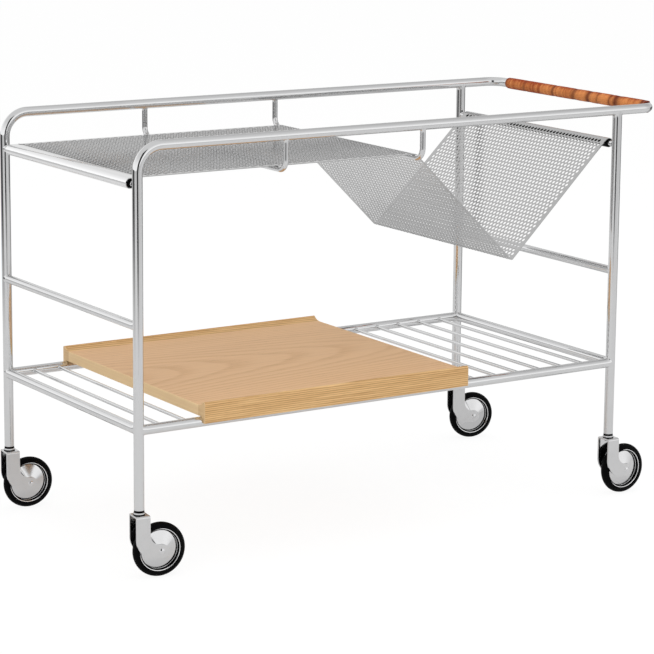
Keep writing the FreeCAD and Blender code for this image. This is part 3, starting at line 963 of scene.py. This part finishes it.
class FoldLine:
    """Middle line of the folded sheet in the XZ plane, walked by its developed length."""

    def __init__(self, x: float, z: float, heading: float, stretches: Sequence[Stretch]) -> None:
        """Strings the stretches together.

        Args:
            x: where the line starts.
            z: its height there.
            heading: the angle it starts at, from +X towards +Z.
            stretches: what follows.
        """
        self.stretches = list(stretches)
        self.starts: list[float] = []
        self.poses: list[Triple] = []
        walked = 0.0
        for stretch in self.stretches:
            self.starts.append(walked)
            self.poses.append((x, z, heading))
            x, z, heading = self._step((x, z, heading), stretch, stretch.length)
            walked += stretch.length
        self.length = walked

    @staticmethod
    def _step(pose: Triple, stretch: Stretch, gone: float) -> Triple:
        """Place and heading some way along one stretch.

        Args:
            pose: x, z and heading where the stretch begins.
            stretch: the stretch.
            gone: the length walked on it.

        Returns:
            x, z and heading there.
        """
        x, z, heading = pose
        if stretch.turn == 0.0:
            return x + gone * math.cos(heading), z + gone * math.sin(heading), heading
        rate = stretch.turn / stretch.length
        after = heading + rate * gone
        dx = (math.sin(after) - math.sin(heading)) / rate
        dz = (math.cos(heading) - math.cos(after)) / rate
        return x + dx, z + dz, after

    def at(self, gone: float) -> Triple:
        """Place and heading at a developed length."""
        i = max(0, bisect.bisect_right(self.starts, gone) - 1)
        return self._step(self.poses[i], self.stretches[i], gone - self.starts[i])

    def middle(self, fold: Fold) -> float:
        """Developed length at the middle of a stretch."""
        return self.starts[fold] + self.stretches[fold].length / 2


@dataclass
class PunchedShelf:
    """Folded sheet with punched holes: rolled edge, flat shelf, V pocket, rolled edge.

    The sheet is cut and punched flat, with X along its developed length, and then folded.
    """

    tubes: TubeFrame
    thickness: float = 0.001
    width: float = 0.360
    left_wrap: float = math.radians(265)
    right_wrap: float = math.radians(185)
    slope: float = math.radians(44.3)
    fold_r: float = 0.0015
    hole_r: float = 0.0029
    pitch: float = 0.00778
    holes: int = 45
    hole_sides: int = 12
    left_plain: float = 0.015
    right_plain: float = 0.0039
    rim_strip: float = 0.006
    roll_steps: int = 18
    sleeve: float = 0.0003
    bush_gap: float = 0.0002
    bush_length: float = 0.015
    edge_catch: float = 1 / 1.9
    roughness: float = 0.13
    edge_roughness: float = 0.05
    tint: Colour = (0.53, 0.53, 0.53, 1.0)
    # Painted highlight: brighter tint of the polished left roll.
    painted_edge_highlight_tint: Colour = (0.82, 0.82, 0.825, 1.0)

    def fold_line(self) -> FoldLine:
        """Works out the middle line from the left roll's free edge to the right roll's free edge.

        Returns:
            The line.
        """
        half = self.thickness / 2
        roll = self.tubes.roll_r + half
        over = self.tubes.rod_r + half
        under = self.fold_r + half
        sin_a, cos_a = math.sin(self.slope), math.cos(self.slope)
        left_x, right_x = self.tubes.left_x, self.tubes.right_x
        fold_x = left_x + self.tubes.pocket_hanger
        rod_z = self.tubes.rod_z
        roll_z = self.tubes.roll_z
        left_reach = sin_a * fold_x + cos_a * rod_z + over + under
        right_reach = -sin_a * right_x + cos_a * roll_z + roll + under
        pocket_x = (left_reach - right_reach) / (2 * sin_a)
        left_side = (pocket_x - fold_x) / cos_a - (over + under) * sin_a / cos_a
        right_side = (right_x - pocket_x) / cos_a - (roll + under) * sin_a / cos_a
        stretches = {
            Fold.LEFT_ROLL: Stretch(roll * self.left_wrap, -self.left_wrap),
            Fold.SHELF: Stretch(fold_x - left_x),
            Fold.OVER_HANGER: Stretch(over * self.slope, -self.slope),
            Fold.POCKET_LEFT: Stretch(left_side),
            Fold.POCKET_BOTTOM: Stretch(under * 2 * self.slope, 2 * self.slope),
            Fold.POCKET_RIGHT: Stretch(right_side),
            Fold.RIGHT_ROLL: Stretch(roll * self.right_wrap, -self.right_wrap),
        }
        start = RIGHT_ANGLE + self.left_wrap
        edge_x, edge_z = left_x + roll * math.cos(start), roll_z + roll * math.sin(start)
        return FoldLine(edge_x, edge_z, start - RIGHT_ANGLE, [stretches[fold] for fold in Fold])

    def cell(self, bm: BMesh, rim: BMLayerItem) -> list[Any]:
        """One punched hexagon of the pattern at the origin.

        Args:
            bm: the mesh.
            rim: vertex layer that marks the edge of a hole.

        Returns:
            Its vertices, edges and faces.
        """
        bmesh.ops.create_circle(bm, segments=self.hole_sides, radius=self.hole_r)
        for vert in bm.verts:
            vert[rim] = 1
        _, outer = grow(bm, list(bm.edges))
        flat = self.pitch / 2
        point = flat / math.cos(math.pi / 6)
        for vert in outer:
            vert[rim] = 0
            twelfths = round(math.atan2(vert.co.y, vert.co.x) / (math.pi / 6))
            vert.co = vert.co.normalized() * (point if twelfths % 2 == 0 else flat)
        return list(bm.verts) + list(bm.edges) + list(bm.faces)

    def copies(self, bm: BMesh, geom: Sequence[Any], offsets: Iterable[Vector]) -> list[Any]:
        """Copies geometry to several offsets.

        Args:
            bm: the mesh.
            geom: what is copied.
            offsets: how far each copy moves.

        Returns:
            The copies.
        """
        made: list[Any] = []
        for offset in offsets:
            copy = bmesh.ops.duplicate(bm, geom=list(geom))["geom"]
            verts = [item for item in copy if isinstance(item, BMVert)]
            bmesh.ops.translate(bm, verts=verts, vec=offset)
            made.extend(copy)
        return made

    def flat_sheet(self, line: FoldLine) -> BMesh:
        """The punched sheet before folding, without thickness.

        Args:
            line: the fold line, for the lengths of its stretches.

        Returns:
            The flat mesh.
        """
        bm = bmesh.new()
        rim = bm.verts.layers.int.new("rim")
        row_step = self.pitch * math.sqrt(0.75)
        first = line.starts[Fold.SHELF] + self.left_plain
        last = line.starts[Fold.RIGHT_ROLL] - self.right_plain
        rows = int((last - first) / row_step) + 1
        first = last - (rows - 1) * row_step
        seed = self.cell(bm, rim)
        edge_y = -(self.holes - 1) / 2 * self.pitch
        even = [Vector((0, edge_y + self.pitch * i, 0)) for i in range(self.holes)]
        odd = [Vector((row_step, edge_y + self.pitch * (i + 0.5), 0)) for i in range(self.holes - 1)]
        even_row = self.copies(bm, seed, even)
        odd_row = self.copies(bm, seed, odd)
        bmesh.ops.delete(bm, geom=[item for item in seed if isinstance(item, BMVert)], context="VERTS")
        pair = even_row + odd_row
        self.copies(bm, pair, [Vector((row_step * 2 * i, 0, 0)) for i in range(1, rows // 2)])
        if rows % 2:
            self.copies(bm, even_row, [Vector((row_step * (rows - 1), 0, 0))])
        bmesh.ops.translate(bm, verts=bm.verts, vec=Vector((first, 0, 0)))
        bmesh.ops.remove_doubles(bm, verts=bm.verts, dist=MERGE_DISTANCE)
        self.margins(bm, rim)
        self.plain_end(bm, rim, first - self.rim_strip, 0.0, line.starts[Fold.SHELF])
        self.plain_end(bm, rim, last + self.rim_strip, line.length, line.starts[Fold.RIGHT_ROLL])
        return bm

    def border(self, bm: BMesh, rim: BMLayerItem) -> list[BMEdge]:
        """Outer edges of the flat sheet, without the holes."""
        return [edge for edge in bm.edges if edge.is_boundary and not any(v[rim] for v in edge.verts)]

    def margins(self, bm: BMesh, rim: BMLayerItem) -> None:
        """Plain strips along the front and rear edges.

        Args:
            bm: the flat mesh.
            rim: vertex layer that marks the holes.
        """
        inner = (self.holes - 1) / 2 * self.pitch - self.pitch * self.edge_catch
        for side in (-1, 1):
            row = [e for e in self.border(bm, rim) if all(v.co.y * side > inner for v in e.verts)]
            _, verts = grow(bm, row)
            for vert in verts:
                vert[rim] = 0
                vert.co.y = side * self.width / 2

    def plain_end(self, bm: BMesh, rim: BMLayerItem, straight: float, end: float, roll: float) -> None:
        """Plain strip and rolled edge at one end of the sheet.

        Args:
            bm: the flat mesh.
            rim: vertex layer that marks the holes.
            straight: where the zigzag of the pattern is made straight.
            end: developed length of the free edge.
            roll: developed length where the roll begins.
        """
        side = 1 if end > straight else -1
        reach = max(vert.co.x * side for vert in bm.verts) - self.pitch / 2
        outer = self.width / 2 - MERGE_DISTANCE
        row = [
            edge for edge in self.border(bm, rim)
            if all(v.co.x * side > reach for v in edge.verts)
            and not all(abs(v.co.y) > outer for v in edge.verts)
        ]
        begin = max(straight, roll) if side > 0 else min(straight, roll)
        places = [straight] if begin == straight else [straight, begin]
        places += [begin + (end - begin) * (i + 1) / self.roll_steps for i in range(self.roll_steps)]
        for place in places:
            row, verts = grow(bm, row)
            for vert in verts:
                vert[rim] = 0
                vert.co.x = place

    def fold(self, flat: BMesh, line: FoldLine, begin: float, end: float) -> BMesh:
        """Cuts a stretch out of the flat sheet, gives it its thickness and folds it.

        Args:
            flat: the flat sheet, which is left as it is.
            line: the fold line.
            begin: developed length where the stretch begins.
            end: developed length where it ends.

        Returns:
            The folded stretch.
        """
        bm = flat.copy()
        beyond = [face for face in bm.faces if not begin <= face.calc_center_median().x < end]
        bmesh.ops.delete(bm, geom=beyond, context="FACES")
        raised = bmesh.ops.extrude_face_region(bm, geom=list(bm.faces), use_keep_orig=True)["geom"]
        lift = Vector((0, 0, self.thickness))
        bmesh.ops.translate(bm, verts=[item for item in raised if isinstance(item, BMVert)], vec=lift)
        bmesh.ops.recalc_face_normals(bm, faces=bm.faces)
        for vert in bm.verts:
            x, z, heading = line.at(vert.co.x)
            rise = vert.co.z - self.thickness / 2
            vert.co = Vector((x - rise * math.sin(heading), vert.co.y, z + rise * math.cos(heading)))
        return bm

    def lining(self, side: str, x: float) -> None:
        """Black liner of a rolled edge: a bush at each end and a thin sleeve on the rod between them.

        Args:
            side: left or right.
            x: where the rod runs.
        """
        bm = bmesh.new()
        half = self.width / 2
        inner = half - self.bush_length
        bush_r, sleeve_r = self.tubes.roll_r - self.bush_gap, self.tubes.rod_r + self.sleeve
        lengths = ((-half, -inner, bush_r), (-inner, inner, sleeve_r), (inner, half, bush_r))
        for begin, end, radius in lengths:
            rod = Rod(bm, Vector((x, begin, self.tubes.roll_z)), Y_AXIS, radius, self.tubes.sides)
            rod.tube(Vector((x, end, self.tubes.roll_z)))
            rod.cap(rod.first)
            rod.cap(rod.last)
        bmesh.ops.recalc_face_normals(bm, faces=bm.faces)
        bushes = [side + "_front_roll_bush", side + "_rear_roll_bush"]
        publish(bm, side + "_roll_liner", BLACK_PLASTIC, bushes)

    def build(self) -> None:
        """Makes the four stretches of the sheet and the linings of its rolls."""
        line = self.fold_line()
        flat = self.flat_sheet(line)
        middle = line.starts[Fold.SHELF] + self.tubes.middle_hanger
        over, under = line.middle(Fold.OVER_HANGER), line.middle(Fold.POCKET_BOTTOM)
        cuts = {
            "shelf_left_half": (-math.inf, middle),
            "shelf_right_half": (middle, over),
            "pocket_left_side": (over, under),
            "pocket_right_side": (under, math.inf),
        }
        edge_x = self.tubes.left_x + self.tubes.roll_r
        finish = SheetFinish(
            "satin_steel_sheet", self.tint, self.roughness, self.painted_edge_highlight_tint, self.edge_roughness, edge_x
        )
        for name, (begin, end) in cuts.items():
            publish(self.fold(flat, line, begin, end), name, finish, ["sheet_shelf"])
        flat.free()
        for side, x in (("left", self.tubes.left_x), ("right", self.tubes.right_x)):
            self.lining(side, x)


@dataclass(frozen=True)
class Seam:
    """A burnished seam round the handle: its place, width and darkness, and the next panel's tone."""

    place: float
    width: float
    burn: float
    tone: float

    def strength(self, along: float) -> float:
        """How much of the seam's colour is at a place along the bar."""
        return self.burn * math.exp(-((along - self.place) / self.width) ** 2)


@dataclass
class LeatherGrip:
    """Leather sewn round the handle bar in panels that differ in tone, with burnished seams between and
    painted shade towards the top and bottom of the bar.
    """

    tubes: TubeFrame
    thickness: float = 0.0018
    bend_reach: float = math.radians(40)
    rear_bare: float = 0.010
    groove: float = 0.0004
    lean: float = 0.0015
    ring_step: float = 0.0009
    sides: int = 56
    end_round: float = 0.0012
    end_slant: float = 0.014
    end_fade: float = 0.02
    edge_width: float = 0.009
    front_darkness: float = 0.8
    seam_burn: float = 0.9
    # Painted shade: how much darker the leather is painted towards the top and bottom of the bar, and how
    # sharply.
    painted_rim_shade: float = 0.8
    painted_rim_shade_power: int = 3
    seams: tuple[Seam, ...] = (
        Seam(-0.300, 0.001, 0.0, 0.5),
        Seam(-0.177, 0.0060, 0.80, 0.25),
        Seam(-0.1155, 0.0075, 1.00, 0.4),
        Seam(-0.100, 0.0026, 0.80, 0.05),
        Seam(-0.071, 0.0026, 0.60, 0.3),
        Seam(-0.048, 0.0058, 0.95, 0.12),
        Seam(-0.012, 0.0058, 0.85, 0.35),
        Seam(0.040, 0.0032, 0.90, 0.25),
        Seam(0.072, 0.0022, 0.25, 0.65),
        Seam(0.114, 0.0034, 0.55, 0.55),
        Seam(0.162, 0.0040, 0.70, 0.5),
    )
    straight: float = field(init=False)
    front: float = field(init=False)
    rear: float = field(init=False)

    def __post_init__(self) -> None:
        """Works out where along the bar the straight run and the wrap end, from the bar's middle."""
        self.straight = self.tubes.width / 2 - self.tubes.handle_bend
        self.front = -self.straight - self.tubes.handle_bend * self.bend_reach
        self.rear = self.straight - self.rear_bare

    def lay(self, along: float, spoke: Vector) -> Vector:
        """Place on the bar and its bends of a point of the straight wrap.

        Args:
            along: how far the point is from the bar's middle.
            spoke: from the bar's axis to the point.

        Returns:
            The point in the trolley's frame.
        """
        side = math.copysign(1.0, along)
        turn = max(0.0, abs(along) - self.straight) / self.tubes.handle_bend
        bend = self.tubes.handle_bend + spoke.x
        straight = min(abs(along), self.straight)
        return Vector((
            self.tubes.handle_x - self.tubes.handle_bend + bend * math.cos(turn),
            side * (straight + bend * math.sin(turn)),
            self.tubes.top_z + spoke.z,
        ))

    def build(self) -> None:
        """Makes the wrap."""
        bm = bmesh.new()
        seam_layer = bm.verts.layers.float.new(SEAM_LAYER)
        tone_and_shade_layer = bm.verts.layers.float.new(TONE_AND_SHADE_LAYER)
        radius = self.tubes.tube_r + self.thickness
        rod = Rod(bm, Y_AXIS * self.front, Y_AXIS, radius, self.sides)
        rod.run(Y_AXIS * self.rear, int((self.rear - self.front) / self.ring_step))
        places = [seam.place for seam in self.seams]
        for vert in bm.verts:
            along = vert.co.y
            spoke = Vector((vert.co.x, 0, vert.co.z)).normalized()
            leaning = along + self.lean * spoke.z
            panel = self.seams[bisect.bisect_right(places, leaning) - 1]
            burn = min(1.0, sum(seam.strength(leaning) for seam in self.seams))
            from_front = along - self.front
            from_end = min(from_front, self.rear - along)
            # Darker towards the front end of the wrap.
            front_darkening = math.exp(-from_front / self.edge_width)
            vert[seam_layer] = min(1.0, burn * self.seam_burn + front_darkening * self.front_darkness)
            # Painted shade: the tone darkens towards the top and bottom of the bar, where it turns from
            # the light.
            vert[tone_and_shade_layer] = panel.tone + self.painted_rim_shade * abs(spoke.z) ** self.painted_rim_shade_power
            rounded = max(0.0, self.end_round - from_end)
            slant = self.end_slant * max(0.0, spoke.x) * math.exp(-from_front / self.end_fade)
            vert.co = self.lay(along + slant, spoke * (radius - self.groove * burn - rounded))
        rod.cap(rod.first)
        rod.cap(rod.last)
        bmesh.ops.recalc_face_normals(bm, faces=bm.faces)
        publish(bm, "leather_wrap", LEATHER, ["handle_wrap"])


@dataclass(frozen=True)
class Caster:
    """One swivel caster: its solids stay and get their finishes."""

    corner: Corner
    finishes: tuple[tuple[str, Finish], ...] = (
        ("caster_socket", BLACK_PLASTIC),
        ("caster_stem", STEEL),
        ("caster_raceway", BLACK_PLASTIC),
        ("caster_fork", CASTER_CHROME),
        ("wheel_axle", STEEL),
        ("wheel_hub", BLACK_PLASTIC),
        ("wheel_tyre", RUBBER),
        # The trim rings wear chrome with a painted highlight.
        ("wheel_trim_rings", TRIM_CHROME_WITH_PAINTED_HIGHLIGHT),
        ("wheel_cover_discs", CASTER_CHROME),
    )

    def build(self) -> None:
        """Dresses the caster's nodes."""
        for part, finish in self.finishes:
            dress(self.corner.value + "_" + part, finish)


@dataclass(frozen=True)
class OakTray:
    """Sliding tray: its solids stay and get their finishes."""

    board: str = "tray_board"
    lips: tuple[str, ...] = ("tray_front_lip", "tray_rear_lip")

    def build(self) -> None:
        """Dresses the tray's nodes."""
        dress(self.board, OakFinish(
            "oak_board", pale=srgb(252, 206, 156), deep=srgb(216, 164, 112),
            ring_width=0.0044, rings=0.16, heart_depth=0.09, tilt=0.0, streak_scale=300.0, streaks=0.22,
            ends=self.ends(self.board), end_shade=0.0,
        ))
        for lip in self.lips:
            dress(lip, OakFinish(
                lip + "_oak", pale=srgb(255, 212, 152), deep=srgb(192, 142, 84),
                ring_width=0.0026, rings=0.4, heart_depth=0.5, tilt=0.03, streak_scale=420.0, streaks=0.3,
                ends=self.ends(lip), end_shade=0.3,
            ))

    @staticmethod
    def ends(node: str) -> tuple[float, float]:
        """Where a node begins and ends along X."""
        low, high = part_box(node)
        return low.x, high.x


@dataclass(frozen=True)
class PhotoCamera:
    """Camera of the photograph: where it stands, and its lens for a square frame of frame_px pixels."""

    azimuth: float = math.radians(-33.885)
    elevation: float = math.radians(10.623)
    roll: float = math.radians(0.686)
    distance: float = 3.8097
    target: Triple = (0.0805, 0.0, 0.3426)
    frame_px: float = 654.0
    focal_px: float = 2556.0
    axis_px: tuple[float, float] = (380.0, 268.0)
    sensor_mm: float = 36.0

    def build(self) -> None:
        """Adds the camera and makes it the scene's."""
        sin_a, cos_a = math.sin(self.azimuth), math.cos(self.azimuth)
        sin_e, cos_e = math.sin(self.elevation), math.cos(self.elevation)
        back = Vector((sin_a * cos_e, -cos_a * cos_e, sin_e))
        right = Vector((cos_a, sin_a, 0))
        up = back.cross(right)
        turned = right * math.cos(self.roll) + up * math.sin(self.roll)
        data = bpy.data.cameras.new("photo_camera")
        data.sensor_width = self.sensor_mm
        data.lens = self.focal_px / self.frame_px * self.sensor_mm
        data.shift_x = 0.5 - self.axis_px[0] / self.frame_px
        data.shift_y = self.axis_px[1] / self.frame_px - 0.5
        camera = bpy.data.objects.new("photo_camera", data)
        axes = Matrix((turned, back.cross(turned), back)).transposed()
        place = Matrix.Translation(Vector(self.target) + back * self.distance)
        camera.matrix_world = place @ axes.to_4x4()
        bpy.context.scene.collection.objects.link(camera)
        bpy.context.scene.camera = camera


@dataclass(frozen=True)
class Lamp:
    """A soft box: its middle, what it faces, its size and its brightness."""

    name: str
    place: Triple
    aim: Triple
    size: tuple[float, float]
    radiance: float

    def build(self) -> None:
        """Adds the lamp."""
        data = bpy.data.lights.new(self.name, "AREA")
        data.shape = "RECTANGLE"
        data.size, data.size_y = self.size
        data.energy = self.radiance * math.pi * self.size[0] * self.size[1]
        lamp = bpy.data.objects.new(self.name, data)
        lamp.location = self.place
        heading = Vector(self.aim) - Vector(self.place)
        lamp.rotation_euler = heading.to_track_quat("-Z", "Y").to_euler()
        lamp.visible_camera = False
        lamp.visible_glossy = False
        bpy.context.scene.collection.objects.link(lamp)


@dataclass(frozen=True)
class Card:
    """A card out of view that only mirrors see; its foot fades out over the floor towards the trolley."""

    name: str
    azimuth: float
    distance: float
    width: float
    height: float
    brightness: float
    near: float = 1.4
    rim: float = 0.85
    lift: float = 0.002

    def build(self) -> None:
        """Adds the card, facing the trolley."""
        bm = bmesh.new()
        near_half = self.width / 2 * self.near / self.distance
        foot = [bm.verts.new((side * near_half, -self.near, self.lift)) for side in (-1, 1)]
        row = [bm.edges.new(foot)]
        for z in (self.lift, self.height):
            row, verts = grow(bm, row)
            for vert in verts:
                vert.co = Vector((math.copysign(self.width / 2, vert.co.x), -self.distance, z))
        turn = Matrix.Rotation(math.radians(self.azimuth), 3, "Z")
        bmesh.ops.rotate(bm, verts=bm.verts, cent=Vector(), matrix=turn)
        material, sheet = new_sheet(self.name)
        x, y, _ = sheet.axes(sheet.coordinates())
        reach = (x ** 2 + y ** 2).call("SQRT")
        strength = self.rim + reach.band(self.near, self.distance) * (self.brightness - self.rim)
        sheet.close(sheet.node("ShaderNodeEmission", None, {"Strength": strength}))
        card = stand(bm, self.name, material)
        card.visible_camera = False
        card.visible_diffuse = False
        card.visible_shadow = False


@dataclass(frozen=True)
class Studio:
    """White sweep with soft light all round."""

    floor_size: float = 60.0
    paper: float = 0.8
    glow: float = 0.82
    mirrored_glow: float = 0.3
    glow_strength: float = 1.1
    horizon: float = 1.22
    zenith: float = 0.82
    rise: tuple[float, float] = (0.12, 0.75)
    dim_azimuth: float = math.radians(110)
    dim: float = 0.4
    dim_reach: tuple[float, float] = (0.2, 0.95)
    ambient: float = 0.62
    lamps: tuple[Lamp, ...] = (
        Lamp("key_box", (-2.6, -1.9, 1.9), (0.0, 0.0, 0.4), (1.8, 2.2), 1.5),
        Lamp("top_box", (0.2, -0.2, 2.9), (0.0, 0.0, 0.3), (2.6, 2.0), 1.2),
        Lamp("fill_box", (2.6, -2.4, 1.5), (0.0, 0.0, 0.4), (1.2, 1.8), 1.0),
    )
    cards: tuple[Card, ...] = (
        Card("camera_side_card", -28.0, 3.04, 1.6, 3.2, 0.05),
        Card("left_card", -112.0, 3.4, 3.2, 0.6, 0.08),
        Card("left_rear_card", -152.0, 3.4, 1.6, 0.6, 0.6),
        Card("rear_right_card", 122.0, 3.2, 5.0, 0.6, 0.14, 0.4, 0.65),
    )

    def rays(self, sheet: ShaderSheet) -> tuple[Signal, Signal]:
        """Tells what is seen from light that bounces.

        Args:
            sheet: the sheet that takes the nodes.

        Returns:
            1 for camera rays, and 1 for camera, glossy and transmission rays.
        """
        camera = sheet.node("ShaderNodeLightPath", output="Is Camera Ray")
        glossy, through = camera.part("Is Glossy Ray"), camera.part("Is Transmission Ray")
        return camera, camera.call("MAXIMUM", glossy).call("MAXIMUM", through)

    def world(self) -> None:
        """White surroundings for what is seen, and a lower even light for bounces."""
        world = bpy.data.worlds.new("studio")
        bpy.context.scene.world = world
        sheet = ShaderSheet(world)
        camera, seen = self.rays(sheet)
        x, y, z = sheet.axes(sheet.node("ShaderNodeTexCoord", output="Generated"))
        aside = x * math.sin(self.dim_azimuth) - y * math.cos(self.dim_azimuth)
        level = self.horizon + z.band(*self.rise) * (self.zenith - self.horizon)
        around = level * (1 - aside.band(*self.dim_reach) * self.dim)
        strength = camera + (seen - camera) * around + (1 - seen) * self.ambient
        sheet.close(sheet.node("ShaderNodeBackground", None, {"Color": WHITE, "Strength": strength}))

    def floor(self) -> None:
        """Pale floor that stays white and keeps a soft shadow."""
        bm = bmesh.new()
        bmesh.ops.create_grid(bm, x_segments=1, y_segments=1, size=self.floor_size / 2)
        material, sheet = new_sheet("white_paper")
        paper = sheet.node("ShaderNodeBsdfDiffuse", None, {"Color": darker(WHITE, self.paper)})
        glow = sheet.node("ShaderNodeEmission", None, {"Strength": self.glow_strength})
        camera, seen = self.rays(sheet)
        share = seen * self.mirrored_glow + camera * (self.glow - self.mirrored_glow)
        sheet.close(sheet.node("ShaderNodeMixShader", None, {0: share, 1: paper, 2: glow}))
        stand(bm, "floor", material)

    def build(self) -> None:
        """Sets the stage."""
        bpy.context.scene.view_settings.view_transform = "Standard"
        self.world()
        self.floor()
        for item in self.lamps + self.cards:
            item.build()


def main() -> None:
    """Builds the trolley, the stage and the camera."""
    logging.basicConfig(level=logging.INFO, format="%(name)s: %(message)s")
    tubes = TubeFrame()
    parts: list[Any] = [tubes, PunchedShelf(tubes), LeatherGrip(tubes), OakTray()]
    parts += [Caster(corner) for corner in Corner]
    parts += [Studio(), PhotoCamera()]
    for part in parts:
        LOG.info("building %s", type(part).__name__)
        part.build()


if __name__ == "__main__":
    main()
